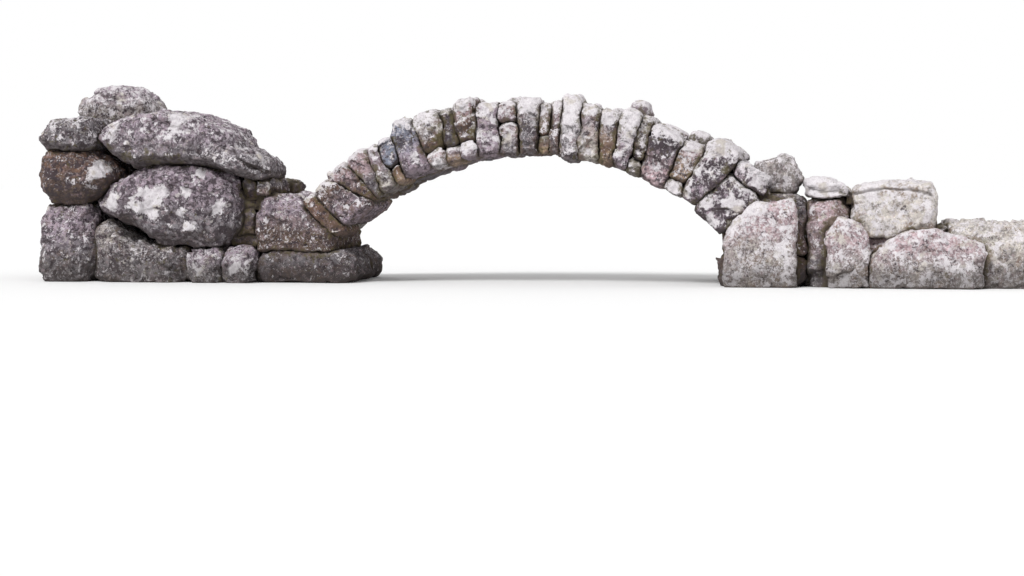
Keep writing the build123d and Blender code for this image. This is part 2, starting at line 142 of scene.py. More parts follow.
# The colours of the rock and of what grows on it, as they look in plain daylight
TONES = {
    "white": (236, 231, 234),
    "cream": (212, 205, 197),
    "ivory": (204, 198, 190),
    "lilac": (162, 147, 159),
    "rose": (188, 163, 168),
    "blue": (140, 145, 162),
    "grey": (128, 123, 127),
    "slate": (104, 100, 108),
    "char": (82, 75, 80),
    "umber": (96, 80, 72),
    "rust": (124, 96, 82),
    "tan": (170, 146, 124),
    "olive": (104, 96, 66),
    "pebble": (152, 145, 142),
}

# How a stone looks: the tones of its foot and of its head, and the shares of it under pale lichen, dark
# lichen, brown stain, moss and round pale rosettes
Look = namedtuple("Look", "foot head lichen dark stain moss rosette", defaults=(0.0,))

# The near stones of each course, from the foot up
RING_LOOKS = {
    "left_voussoir_01": [Look("umber", "rust", 0.20, 0.35, 0.55, 0.15)],
    "left_voussoir_02": [Look("lilac", "umber", 0.30, 0.50, 0.45, 0.10)],
    "left_voussoir_03": [Look("umber", "rose", 0.28, 0.45, 0.35, 0.20)],
    "left_voussoir_04": [Look("grey", "rose", 0.30, 0.42, 0.28, 0.18)],
    "left_voussoir_05": [Look("pebble", "lilac", 0.40, 0.42, 0.22, 0.16)],
    "left_voussoir_06": [
        Look("tan", "rust", 0.20, 0.25, 0.45, 0.15),
        Look("blue", "blue", 0.36, 0.45, 0.08, 0.05),
    ],
    "left_voussoir_07": [Look("lilac", "blue", 0.30, 0.45, 0.10, 0.12)],
    "left_voussoir_08": [
        Look("white", "rose", 0.50, 0.30, 0.35, 0.12),
        Look("umber", "white", 0.34, 0.40, 0.50, 0.30),
    ],
    "left_voussoir_09": [
        Look("tan", "lilac", 0.40, 0.20, 0.25, 0.15),
        Look("slate", "grey", 0.22, 0.60, 0.30, 0.30),
    ],
    "left_voussoir_10": [
        Look("lilac", "white", 0.60, 0.20, 0.10, 0.10),
        Look("umber", "rose", 0.42, 0.42, 0.42, 0.26),
    ],
    "left_voussoir_11": [Look("lilac", "lilac", 0.42, 0.42, 0.12, 0.08)],
    "left_voussoir_12": [
        Look("grey", "rose", 0.40, 0.42, 0.24, 0.15),
        Look("lilac", "rose", 0.42, 0.38, 0.30, 0.15),
    ],
    "keystone": [Look("grey", "white", 0.30, 0.48, 0.36, 0.12)],
    "right_voussoir_11": [
        Look("tan", "pebble", 0.25, 0.30, 0.30, 0.20),
        Look("rust", "white", 0.48, 0.35, 0.50, 0.15),
    ],
    "right_voussoir_10": [Look("grey", "rose", 0.45, 0.42, 0.36, 0.10)],
    "right_voussoir_09": [Look("grey", "white", 0.52, 0.34, 0.14, 0.08)],
    "right_voussoir_08": [Look("cream", "lilac", 0.34, 0.32, 0.32, 0.20)],
    "right_voussoir_07": [Look("tan", "slate", 0.34, 0.36, 0.36, 0.20)],
    "right_voussoir_06": [Look("lilac", "white", 0.48, 0.40, 0.15, 0.12)],
    "right_voussoir_05": [
        Look("pebble", "grey", 0.45, 0.48, 0.25, 0.30),
        Look("umber", "cream", 0.45, 0.58, 0.35, 0.22),
    ],
    "right_voussoir_04": [Look("rose", "slate", 0.28, 0.50, 0.10, 0.08)],
    "right_voussoir_03": [
        Look("white", "pebble", 0.50, 0.35, 0.20, 0.15),
        Look("tan", "rose", 0.46, 0.48, 0.30, 0.15),
    ],
    "right_voussoir_02": [Look("lilac", "lilac", 0.40, 0.62, 0.20, 0.20)],
    "right_voussoir_01": [
        Look("lilac", "lilac", 0.34, 0.70, 0.10, 0.15),
        Look("lilac", "white", 0.42, 0.50, 0.10, 0.10),
    ],
}

# The pieces of the banks, each with one look for all its stones
BANK_LOOKS = {
    "left_boulder": [Look("grey", "lilac", 0.20, 0.55, 0.14, 0.08, 0.45)],
    "left_cap_slab": [Look("grey", "lilac", 0.32, 0.50, 0.12, 0.12, 0.10)],
    "left_top_stone": [Look("pebble", "lilac", 0.40, 0.46, 0.22, 0.06, 0.10)],
    "left_tail_slab": [Look("grey", "grey", 0.34, 0.50, 0.30, 0.22, 0.10)],
    "left_end_boulder": [Look("umber", "rust", 0.20, 0.55, 0.50, 0.10, 0.10)],
    "left_end_base_stone": [Look("grey", "lilac", 0.28, 0.50, 0.30, 0.16, 0.10)],
    "left_base_stone_outer": [Look("grey", "pebble", 0.30, 0.50, 0.32, 0.20, 0.10)],
    "left_base_stone_middle": [Look("grey", "lilac", 0.38, 0.46, 0.12, 0.10, 0.15)],
    "left_base_stone_inner": [Look("grey", "lilac", 0.34, 0.48, 0.18, 0.14, 0.10)],
    "left_packing_stones": [Look("umber", "grey", 0.20, 0.45, 0.35, 0.20)],
    "right_packing_stones": [Look("umber", "pebble", 0.25, 0.40, 0.35, 0.20)],
    "left_footing": [Look("char", "grey", 0.20, 0.40, 0.40, 0.16)],
    "left_skewback": [Look("umber", "lilac", 0.30, 0.40, 0.36, 0.18)],
    "left_shoulder_stone": [Look("umber", "grey", 0.30, 0.42, 0.28, 0.16)],
    "right_footing": [Look("char", "umber", 0.16, 0.40, 0.45, 0.18)],
    "right_skewback": [Look("umber", "grey", 0.28, 0.42, 0.38, 0.22)],
    "right_upright_boulder": [Look("pebble", "pebble", 0.42, 0.03, 0.14, 0.05)],
    "right_bank_stone_inner": [Look("grey", "rose", 0.35, 0.25, 0.35, 0.25)],
    "right_base_stone_outer": [Look("umber", "rose", 0.35, 0.25, 0.35, 0.25)],
    "right_causeway_slab_inner": [Look("white", "white", 0.90, 0.00, 0.12, 0.05)],
    "right_causeway_slab_outer": [Look("cream", "cream", 0.50, 0.12, 0.30, 0.05)],
    "right_end_stone": [Look("pebble", "cream", 0.40, 0.25, 0.30, 0.20)],
    "right_facing_slabs": [Look("pebble", "rose", 0.48, 0.30, 0.22, 0.12)],
}
LOOKS = {**RING_LOOKS, **BANK_LOOKS}

# The tones of a stone that the photograph doesn't show, and the least and the most that grows on it
FAR_TONES = ("lilac", "grey", "rose", "blue", "pebble", "tan", "slate", "white")
FAR_LEAST = (0.25, 0.2, 0.1, 0.1, 0.0)
FAR_MOST = (0.6, 0.55, 0.45, 0.35, 0.2)

# A local touch on the near face of a piece: what it changes, its place across and up the face as shares,
# its radius in metres and how strongly it changes it
Mark = namedtuple("Mark", "kind across up radius amount")
MARKS = {
    "left_voussoir_07": [
        Mark("lichen", 0.60, 0.30, 0.07, 0.4), Mark("dark", 0.30, 0.70, 0.12, 0.2),
        Mark("stain", 0.90, 0.35, 0.09, 0.4),
    ],
    "left_voussoir_08": [
        Mark("lichen", 0.30, 0.95, 0.12, 0.6), Mark("lichen", 0.75, 0.92, 0.10, 0.5),
        Mark("lichen", 0.80, 0.65, 0.05, 0.8), Mark("moss", 0.75, 0.45, 0.09, 0.6),
    ],
    "left_voussoir_09": [Mark("dark", 0.50, 0.80, 0.08, 0.4), Mark("lichen", 0.50, 1.00, 0.07, 0.7)],
    "left_voussoir_10": [
        Mark("lichen", 0.40, 0.95, 0.13, 0.5), Mark("moss", 0.85, 0.45, 0.09, 0.6),
        Mark("stain", 0.60, 0.60, 0.11, 0.4),
    ],
    "left_voussoir_11": [
        Mark("lichen", 0.10, 0.75, 0.06, 0.6), Mark("lichen", 0.10, 0.45, 0.06, 0.6),
        Mark("dark", 0.40, 0.80, 0.06, 0.9), Mark("lichen", 0.88, 0.65, 0.05, 0.6),
        Mark("lichen", 0.88, 0.30, 0.05, 0.5),
    ],
    "left_voussoir_12": [Mark("lichen", 0.50, 0.35, 0.09, 0.4), Mark("lichen", 0.30, 0.85, 0.06, 0.4)],
    "keystone": [
        Mark("lichen", 0.40, 0.92, 0.14, 0.7), Mark("lichen", 0.75, 0.72, 0.07, 0.4),
        Mark("dark", 0.50, 0.45, 0.11, 0.3),
    ],
    "right_voussoir_11": [Mark("lichen", 0.50, 0.90, 0.08, 0.7), Mark("stain", 0.30, 0.60, 0.08, 0.5)],
    "right_voussoir_09": [
        Mark("lichen", 0.50, 0.92, 0.12, 0.5), Mark("lichen", 0.40, 0.60, 0.10, 0.4),
        Mark("dark", 0.70, 0.12, 0.08, 0.5),
    ],
    "right_voussoir_08": [
        Mark("lichen", 0.40, 0.90, 0.09, 0.4), Mark("dark", 0.70, 0.65, 0.07, 0.4),
        Mark("lichen", 0.50, 0.15, 0.08, 0.4),
    ],
    "right_voussoir_07": [Mark("lichen", 0.40, 0.85, 0.11, 0.7), Mark("stain", 0.50, 0.35, 0.13, 0.5)],
    "right_voussoir_06": [Mark("lichen", 0.50, 0.80, 0.12, 0.4), Mark("dark", 0.60, 0.25, 0.06, 0.5)],
    "right_voussoir_04": [
        Mark("dark", 0.40, 0.78, 0.16, 0.5), Mark("lichen", 0.85, 0.96, 0.07, 0.6),
        Mark("lichen", 0.50, 0.30, 0.07, 0.4),
    ],
    "right_voussoir_03": [Mark("lichen", 0.50, 0.90, 0.08, 0.5), Mark("lichen", 0.30, 0.10, 0.08, 0.6)],
    "right_voussoir_02": [
        Mark("lichen", 0.50, 0.97, 0.14, 0.8), Mark("lichen", 0.15, 0.72, 0.08, 0.6),
        Mark("lichen", 0.20, 0.45, 0.08, 0.6), Mark("lichen", 0.40, 0.10, 0.07, 0.5),
        Mark("dark", 0.62, 0.52, 0.09, 0.5), Mark("dark", 0.85, 0.76, 0.08, 0.6),
        Mark("moss", 0.92, 0.68, 0.05, 0.8),
    ],
    "right_voussoir_01": [
        Mark("lichen", 0.12, 0.20, 0.08, 0.6), Mark("lichen", 0.42, 0.42, 0.11, 0.7),
        Mark("lichen", 0.35, 0.06, 0.09, 0.5), Mark("dark", 0.30, 0.26, 0.07, 0.7),
        Mark("dark", 0.60, 0.20, 0.12, 0.5), Mark("dark", 0.72, 0.50, 0.09, 0.5),
        Mark("lichen", 0.30, 0.93, 0.11, 0.7), Mark("lichen", 0.85, 0.84, 0.06, 0.8),
    ],
    "left_boulder": [
        Mark("lichen", 0.45, 0.60, 0.14, 0.9), Mark("lichen", 0.36, 0.67, 0.08, 0.7),
        Mark("lichen", 0.32, 0.48, 0.11, 0.7), Mark("lichen", 0.42, 0.40, 0.11, 0.6),
        Mark("lichen", 0.65, 0.66, 0.07, 0.9), Mark("lichen", 0.14, 0.54, 0.10, 0.8),
        Mark("lichen", 0.86, 0.46, 0.08, 0.9), Mark("lichen", 0.62, 0.41, 0.06, 0.9),
        Mark("lichen", 0.68, 0.24, 0.08, 0.8), Mark("lichen", 0.73, 0.89, 0.05, 0.9),
        Mark("stain", 0.22, 0.28, 0.16, 0.4),
    ],
    "left_cap_slab": [
        # Moss along the undercut lower lip: partly moss, partly painted shade of the undercut
        Mark("moss", 0.08, 0.45, 0.10, 0.5), Mark("moss", 0.20, 0.34, 0.11, 0.5),
        Mark("moss", 0.34, 0.30, 0.12, 0.5), Mark("moss", 0.48, 0.29, 0.12, 0.4),
        Mark("lichen", 0.97, 0.35, 0.11, 0.4), Mark("lichen", 0.12, 0.66, 0.11, 0.4),
        Mark("lichen", 0.52, 0.88, 0.16, 0.3),
    ],
    "left_end_boulder": [
        Mark("lichen", 0.80, 0.60, 0.13, 0.8), Mark("lichen", 0.72, 0.30, 0.08, 0.6),
        Mark("dark", 0.22, 0.55, 0.08, 0.6),
    ],
    "left_base_stone_inner": [Mark("lichen", 0.45, 0.45, 0.07, 0.9)],
    "right_causeway_slab_outer": [
        Mark("stain", 0.56, 0.84, 0.12, 0.7), Mark("stain", 0.42, 0.85, 0.08, 0.6),
        Mark("stain", 0.70, 0.81, 0.08, 0.6), Mark("dark", 0.62, 0.45, 0.05, 0.9),
        Mark("lichen", 0.20, 0.93, 0.13, 0.4),
    ],
    "right_facing_slabs": [
        Mark("lichen", 0.03, 0.72, 0.12, 0.6), Mark("lichen", 0.12, 0.90, 0.12, 0.6),
        Mark("stain", 0.24, 0.85, 0.10, 0.4), Mark("lichen", 0.36, 0.76, 0.10, 0.5),
        Mark("lichen", 0.62, 0.62, 0.14, 0.5),
    ],
}

# How strong all marks are, how deep they reach behind the face, where they end as a share of their radius,
# and how far their outline swings out in lobes
MARK_STRENGTH = 1.15
MARK_DEPTH = 0.35
MARK_EDGE = 1.3
BROAD_LOBES = 0.20
FINE_LOBES = 0.16

# A crack or ledge on the near face of a piece: how deep and how wide it is in metres, and its course across
# and up the face as shares. The edge is where its depth runs out, as a share of its width.
Groove = namedtuple("Groove", "depth width course")
GROOVE_EDGE = 1.2
GROOVES = {
    "left_cap_slab": [
        Groove(0.060, 0.020, [(0.88, 0.22), (0.94, 0.14), (1.00, 0.10)]),
        Groove(0.035, 0.018, [(0.82, 0.47), (0.84, 0.34), (0.88, 0.22)]),
        Groove(0.020, 0.020, [(0.33, 0.86), (0.50, 0.75), (0.67, 0.60), (0.82, 0.40)]),
    ],
    "left_top_stone": [Groove(0.030, 0.020, [(0.05, 0.68), (0.33, 0.72), (0.60, 0.60)])],
    "left_boulder": [Groove(0.022, 0.016, [(0.74, 0.62), (0.80, 0.64), (0.87, 0.68)])],
    "right_voussoir_04": [Groove(0.018, 0.016, [(0.05, 0.42), (0.40, 0.45), (0.90, 0.36)])],
    "right_causeway_slab_outer": [
        Groove(0.030, 0.022, [(0.02, 0.78), (0.20, 0.86), (0.45, 0.89), (0.75, 0.84), (0.93, 0.75)]),
    ],
    "right_causeway_slab_inner": [Groove(0.025, 0.020, [(0.05, 0.45), (0.35, 0.30), (0.85, 0.15)])],
}

# How a stone's tone is clouded: how many clouds to a metre, how fine and how rough they are
Cloud = namedtuple("Cloud", "scale detail roughness")
TEARS = Cloud(9, 4, 0.5)
RISES = Cloud(3.2, 5, 0.6)
BROAD_SHADES = Cloud(6, 8, 0.7)
FINE_SHADES = Cloud(26, 7, 0.72)
CRYSTALS = Cloud(110, 3, 0.8)
PITS = Cloud(34, 7, 0.74)
BROWN_MOTTLE = Cloud(30, 4, 0.5)
BLACK_MOTTLE = Cloud(11, 2, 0.5)
GREEN_MOTTLE = Cloud(40, 2, 0.5)

# A pattern with edges: a cloud, and the levels at which it begins and is full
Fleck = namedtuple("Fleck", "scale detail roughness low high")
SOOTY_BLOTCHES = Fleck(12, 9, 0.75, 0.455, 0.505)
BLUSHES = Fleck(17, 6, 0.7, 0.50, 0.66)
WHITER_LICHEN = Fleck(5, 3, 0.5, 0.34, 0.44)
CLEAN_LICHEN = Fleck(40, 5, 0.75, 0.42, 0.52)
WHOLE_ROSETTES = Fleck(30, 5, 0.7, 0.42, 0.54)

# What covers the stone in patches: how many to a metre, how torn and how soft their edges are, and how much
# of the rock they hide
Growth = namedtuple("Growth", "scale detail softness cover")
BROWN_STAIN = Growth(5.5, 7, 0.07, 0.70)
DARK_LICHEN = Growth(14, 9, 0.012, 0.86)
PALE_CRUST = Growth(9, 10, 0.010, 0.94)
PALE_FLECKS = Growth(32, 6, 0.018, 0.60)
MOSS = Growth(12, 6, 0.05, 0.72)

# The patches: how rough, how much a larger share widens them, and the level of their edge
PATCH_ROUGHNESS = 0.72
PATCH_SPREAD = 0.30
PATCH_LEVEL = 0.67

# How much more or less grows in a joint, on a level top and under a stone
STAIN_IN_JOINTS = 0.13
MOSS_IN_JOINTS = 0.18
LICHEN_IN_JOINTS = -0.06
LICHEN_ON_TOPS = 0.03
LICHEN_UNDER_STONES = -0.12

# How far the clouds tear an edge and blur the change from foot to head and the reach of the damp
TEAR_REACH = 0.05
RISE_BLUR = 0.7
DAMP_BLUR = -0.25

# How much the shades change the rock's tone, and how dark they leave it at least
BROAD_SHADE_RANGE = (1.7, 0.15)
FINE_SHADE_RANGE = (1.9, 0.05)

# How strong the blotches, the blushes and the dirt on the lichen are, and how much the rest hides
BLOTCH_STRENGTH = 0.45
BLUSH_STRENGTH = 0.45
LICHEN_DIRT = 0.34
ROSETTE_COVER = 0.80
DAMP_COVER = 0.55
UNDERSIDE_SHADE_COVER = 0.45
SHADE_COVER = 0.62

# Where something begins and where it is full: as levels of a cloud, as the Z of the face's direction, as
# shares of the stone's height, as depths in a joint, or in metres
FOOT_TO_HEAD = (0.62, 1.12)
QUARTZ_LEVELS = (0.56, 0.70)
MICA_LEVELS = (0.44, 0.30)
UNDERSIDE_SLOPES = (-0.15, -0.7)
TOP_SLOPES = (0.1, 0.8)
HEAD_SHARES = (0.60, 1.0)
SHADED_JOINT = (0.70, 1.0)
SHADED_CARVING = (0.004, 0.03)
DAMP_FOOT = -0.05

# The rosettes: how many places there are for them to a metre, how wide the widest are, which draws of chance
# give one and which the widest, and their rim
ROSETTE_SCALE = 6.5
ROSETTE_WIDTH = 0.62
ROSETTE_CHANCES = (0.25, 1.0)
ROSETTE_RIM = (0.0, 0.10)

# The darkest and brightest colours of the rock, and the painted shade under a stone and in the joints and
# cracks, in linear light
SOOT = (0.058, 0.044, 0.050, 1)
QUARTZ = (0.72, 0.69, 0.70, 1)
MICA = (0.03, 0.027, 0.03, 1)
BLACK_LICHEN = (0.040, 0.026, 0.032, 1)
DARK_MOSS = (0.080, 0.068, 0.028, 1)
DAMP = (0.050, 0.042, 0.036, 1)
UNDERSIDE_SHADE = (0.060, 0.048, 0.042, 1)
SHADE = (0.050, 0.038, 0.034, 1)

# The finest relief: how far crystals, pale crusts and dark lichen stand out beside the pits, and how deep
# and how strong it all is
CRYSTAL_RELIEF = 0.20
CRUST_RELIEF = 0.10
DARK_LICHEN_RELIEF = -0.14
FINE_RELIEF_DEPTH = 0.016
FINE_RELIEF_STRENGTH = 0.85

# How rough the surface is to light, and how much it still shines
DULLNESS = 0.92
SHINE = 0.25

# The finishes: how strongly the crystals show, the tone of the stains, how far up from the ground the stones
# are dark with damp, and how much more lichen their heads carry
FINISHES = {
    "ring_granite": (0.35, "rust", 0.25, 0.08),
    "boulder_granite": (0.45, "umber", 0.25, 0.0),
    "slab_granite": (0.30, "tan", 0.25, 0.0),
    "footing_granite": (0.35, "umber", 0.35, 0.0),
}

# The forms of the weathering, as clouds, and how many facets, chips and cracks there are to a metre
BENDS = Cloud(2.6, 3, 0.5)
SWAYS = Cloud(4.5, 3, 0.55)
HOLLOWS = Cloud(2.6, 2, 0.5)
GRAINS = Cloud(17, 5, 0.66)
BEND_REACH = 0.22
FACET_SCALE = 3.4
CHIP_SCALE = 8.5
CRACK_SCALE = 1.7

# Where the weathering begins and where it is full: across a crack, on the underside, and in a joint for
# what is worn away and for what closes towards the neighbour
CRACK_RIM = (0.035, 0.0)
CALM_SLOPES = (-0.1, -0.5)
WORN_JOINT = (1.0, 0.86)
CLOSING_JOINT = (0.0, 0.45)

# The sizes of the weathering, as the inputs of its tree
WEATHERING = {
    "Hollow Depth": 0.050,
    "Facet Tilt": 0.42,
    "Chip Tilt": 0.28,
    "Crack Depth": 0.016,
    "Grain Depth": 0.008,
    "Joint Fill": 0.50,
    "Joint Sway": 0.12,
    "Underside Calm": 0.70,
}

# The middle of a noise colour, and the least place of a point, which keeps it above the ground
HALF = (0.5, 0.5, 0.5)
GROUND = (-100.0, -100.0, 0.0)


def linear(name):
    """A tone's colour in linear light."""
    return tuple((channel / 255) ** 2.2 for channel in TONES[name]) + (1.0,)


class Graph:
    """A node tree that is written as sums: a value is a number, a colour or another node's output."""

    def __init__(self, tree):
        self.tree = tree

    def put(self, socket, value):
        """Sets a socket, or joins an output to it."""
        if isinstance(value, bpy.types.NodeSocket):
            self.tree.links.new(value, socket)
        else:
            socket.default_value = value

    def add(self, kind, values=(), **settings):
        """Adds a node with settings, and sets its sockets from pairs of a name or place and a value."""
        node = self.tree.nodes.new(kind)
        for name, value in settings.items():
            setattr(node, name, value)
        for key, value in dict(values).items():
            self.put(node.inputs[key], value)
        return node

    def math(self, operation, *values):
        """A sum of one, two or three numbers."""
        return self.add("ShaderNodeMath", enumerate(values), operation=operation).outputs[0]

    def times(self, value, factor):
        """A number times another."""
        return self.math("MULTIPLY", value, factor)

    def total(self, *values):
        """The sum of all the values."""
        result = values[0]
        for value in values[1:]:
            result = self.math("ADD", result, value)
        return result

    def vector(self, operation, *values):
        """A sum of one, two or three vectors."""
        return self.add("ShaderNodeVectorMath", enumerate(values), operation=operation).outputs[0]

    def scaled(self, vector, factor):
        """A vector times a number."""
        return self.add("ShaderNodeVectorMath", {0: vector, "Scale": factor}, operation="SCALE").outputs[0]

    def dot(self, first, second):
        """How far one vector runs along another."""
        node = self.add("ShaderNodeVectorMath", {0: first, 1: second}, operation="DOT_PRODUCT")
        return node.outputs["Value"]

    def parts(self, vector):
        """A vector's X, Y and Z."""
        return self.add("ShaderNodeSeparateXYZ", {0: vector}).outputs

    def noise(self, place, scale, detail, roughness, colour=False):
        """Cloudy noise about 0.5."""
        values = {"Vector": place, "Scale": scale, "Detail": detail, "Roughness": roughness}
        return self.add("ShaderNodeTexNoise", values).outputs["Color" if colour else 0]

    def drift(self, place, cloud):
        """A cloud's colour as a small vector to any side."""
        return self.vector("SUBTRACT", self.noise(place, *cloud, colour=True), HALF)

    def cells(self, place, scale, feature="F1"):
        """A cell pattern, as its node, for its distance and its colour."""
        return self.add("ShaderNodeTexVoronoi", {"Vector": place, "Scale": scale}, feature=feature)

    def step(self, value, low, high):
        """A soft step from 0 at low to 1 at high."""
        values = {0: value, 1: low, 2: high}
        return self.add("ShaderNodeMapRange", values, interpolation_type="SMOOTHSTEP").outputs[0]

    def flecks(self, place, fleck):
        """Where a pattern with edges lies: 0 off it, 1 on it."""
        return self.step(self.noise(place, *fleck[:3]), fleck.low, fleck.high)

    def mix(self, share, under, over):
        """A colour between two."""
        return self.add("ShaderNodeMix", {0: share, 6: under, 7: over}, data_type="RGBA").outputs[2]

    def cover(self, rock, mask, cover, over):
        """The rock's colour with another one over it where the mask is, as far as it covers."""
        return self.mix(self.times(mask, cover), rock, over)


def granite(name, grain, warmth, damp_height, crown):
    """Weathered granite. Grain is how strongly its crystals show, warmth the tone of its stains, damp_height
    how far up from the ground it is dark with damp, and crown how much more lichen its head carries."""
    material = bpy.data.materials.new(name)
    material.use_nodes = True
    g = Graph(material.node_tree)
    shader = material.node_tree.nodes["Principled BSDF"]

    def read(attribute, output="Fac"):
        return g.add("ShaderNodeAttribute", attribute_name=attribute).outputs[output]

    def patches(growth, attribute, lean=0.0):
        """Where a growth covers its share of the stone, and more of it where lean is high."""
        cloud = g.noise(torn, growth.scale, growth.detail, PATCH_ROUGHNESS)
        field = g.total(cloud, g.times(read(attribute), PATCH_SPREAD), lean)
        return g.step(field, PATCH_LEVEL - growth.softness, PATCH_LEVEL + growth.softness)

    # Places on the stone, in its own patterns and with torn edges, and which way it faces
    place = g.add("ShaderNodeTexCoord").outputs["Object"]
    own = g.vector("ADD", place, read("shift", "Vector"))
    torn = g.vector("ADD", own, g.scaled(g.drift(own, TEARS), TEAR_REACH))
    up = g.parts(g.add("ShaderNodeNewGeometry").outputs["Normal"])[2]
    height = g.parts(place)[2]
    crevice = read("crevice")
    share = read("share")

    # The rock, from the tone of its foot to that of its head, with its shades and crystals
    rising = g.noise(own, *RISES)
    rise = g.step(g.total(share, g.times(rising, RISE_BLUR)), *FOOT_TO_HEAD)
    rock = g.mix(rise, read("foot_tone", "Color"), read("head_tone", "Color"))
    broad = g.math("MULTIPLY_ADD", g.noise(own, *BROAD_SHADES), *BROAD_SHADE_RANGE)
    fine = g.math("MULTIPLY_ADD", g.noise(torn, *FINE_SHADES), *FINE_SHADE_RANGE)
    rock = g.scaled(rock, g.times(broad, fine))
    rock = g.mix(g.flecks(torn, SOOTY_BLOTCHES), g.mix(BLOTCH_STRENGTH, rock, SOOT), rock)
    rock = g.mix(g.flecks(torn, BLUSHES), rock, g.mix(BLUSH_STRENGTH, rock, linear("rose")))
    crystal = g.noise(own, *CRYSTALS)
    rock = g.cover(rock, g.step(crystal, *QUARTZ_LEVELS), grain, QUARTZ)
    rock = g.cover(rock, g.step(crystal, *MICA_LEVELS), grain, MICA)

    # Brown stain and dark lichen
    stain = patches(BROWN_STAIN, "stain", g.times(crevice, STAIN_IN_JOINTS))
    brown = g.mix(g.noise(own, *BROWN_MOTTLE), linear("umber"), linear(warmth))
    rock = g.cover(rock, stain, BROWN_STAIN.cover, brown)
    dark = patches(DARK_LICHEN, "dark")
    black = g.mix(g.noise(own, *BLACK_MOTTLE), BLACK_LICHEN, linear("char"))
    rock = g.cover(rock, dark, DARK_LICHEN.cover, black)

    # Pale lichen, more of it on top and less of it in the joints and under a stone
    under = g.step(up, *UNDERSIDE_SLOPES)
    on_top = g.times(g.step(up, *TOP_SLOPES), LICHEN_ON_TOPS + crown)
    on_head = g.times(g.step(share, *HEAD_SHARES), crown)
    in_joints = g.times(crevice, LICHEN_IN_JOINTS)
    lean = g.total(g.total(on_top, on_head), in_joints, g.times(under, LICHEN_UNDER_STONES))
    crust = patches(PALE_CRUST, "lichen", lean)
    flecks = patches(PALE_FLECKS, "lichen", lean)
    pale = g.mix(g.flecks(own, WHITER_LICHEN), linear("cream"), linear("white"))
    pale = g.mix(g.flecks(own, CLEAN_LICHEN), g.mix(LICHEN_DIRT, pale, linear("lilac")), pale)
    cover = g.math("MAXIMUM", g.times(crust, PALE_CRUST.cover), g.times(flecks, PALE_FLECKS.cover))
    rock = g.mix(cover, rock, pale)

    # Round pale rosettes, each with its own width and tone
    rosette = g.cells(torn, ROSETTE_SCALE)
    chance = g.add("ShaderNodeSeparateColor", {0: rosette.outputs["Color"]}).outputs
    reach = g.times(g.step(chance[0], *ROSETTE_CHANCES), g.times(read("rosette"), ROSETTE_WIDTH))
    disc = g.step(g.math("SUBTRACT", reach, rosette.outputs["Distance"]), *ROSETTE_RIM)
    disc = g.times(disc, g.flecks(torn, WHOLE_ROSETTES))
    rock = g.cover(rock, disc, ROSETTE_COVER, g.mix(chance[1], linear("ivory"), linear("white")))

    # Moss, damp near the ground, and painted shade under a stone, in a joint and in a crack
    moss = patches(MOSS, "moss", g.times(crevice, MOSS_IN_JOINTS))
    rock = g.cover(rock, moss, MOSS.cover, g.mix(g.noise(own, *GREEN_MOTTLE), DARK_MOSS, linear("olive")))
    damp = g.step(g.math("ADD", height, g.times(rising, DAMP_BLUR)), damp_height, DAMP_FOOT)
    rock = g.cover(rock, damp, DAMP_COVER, DAMP)
    # Painted shade: faces that turn downward are darkened as if in shadow
    rock = g.cover(rock, under, UNDERSIDE_SHADE_COVER, UNDERSIDE_SHADE)
    # Painted shade: the deepest parts of the joints and the carved cracks are darkened as if in shadow
    shade = g.math("MAXIMUM", g.step(crevice, *SHADED_JOINT), g.step(read("carve"), *SHADED_CARVING))
    rock = g.cover(rock, shade, SHADE_COVER, SHADE)
    g.put(shader.inputs["Base Color"], rock)
    shader.inputs["Roughness"].default_value = DULLNESS
    shader.inputs["Specular IOR Level"].default_value = SHINE

    # The finest pits, crystals and crusts
    relief = g.total(
        g.noise(own, *PITS),
        g.times(crystal, CRYSTAL_RELIEF),
        g.times(crust, CRUST_RELIEF),
        g.times(dark, DARK_LICHEN_RELIEF),
    )
    sizes = {"Height": relief, "Strength": FINE_RELIEF_STRENGTH, "Distance": FINE_RELIEF_DEPTH}
    g.put(shader.inputs["Normal"], g.add("ShaderNodeBump", sizes).outputs[0])
    return material


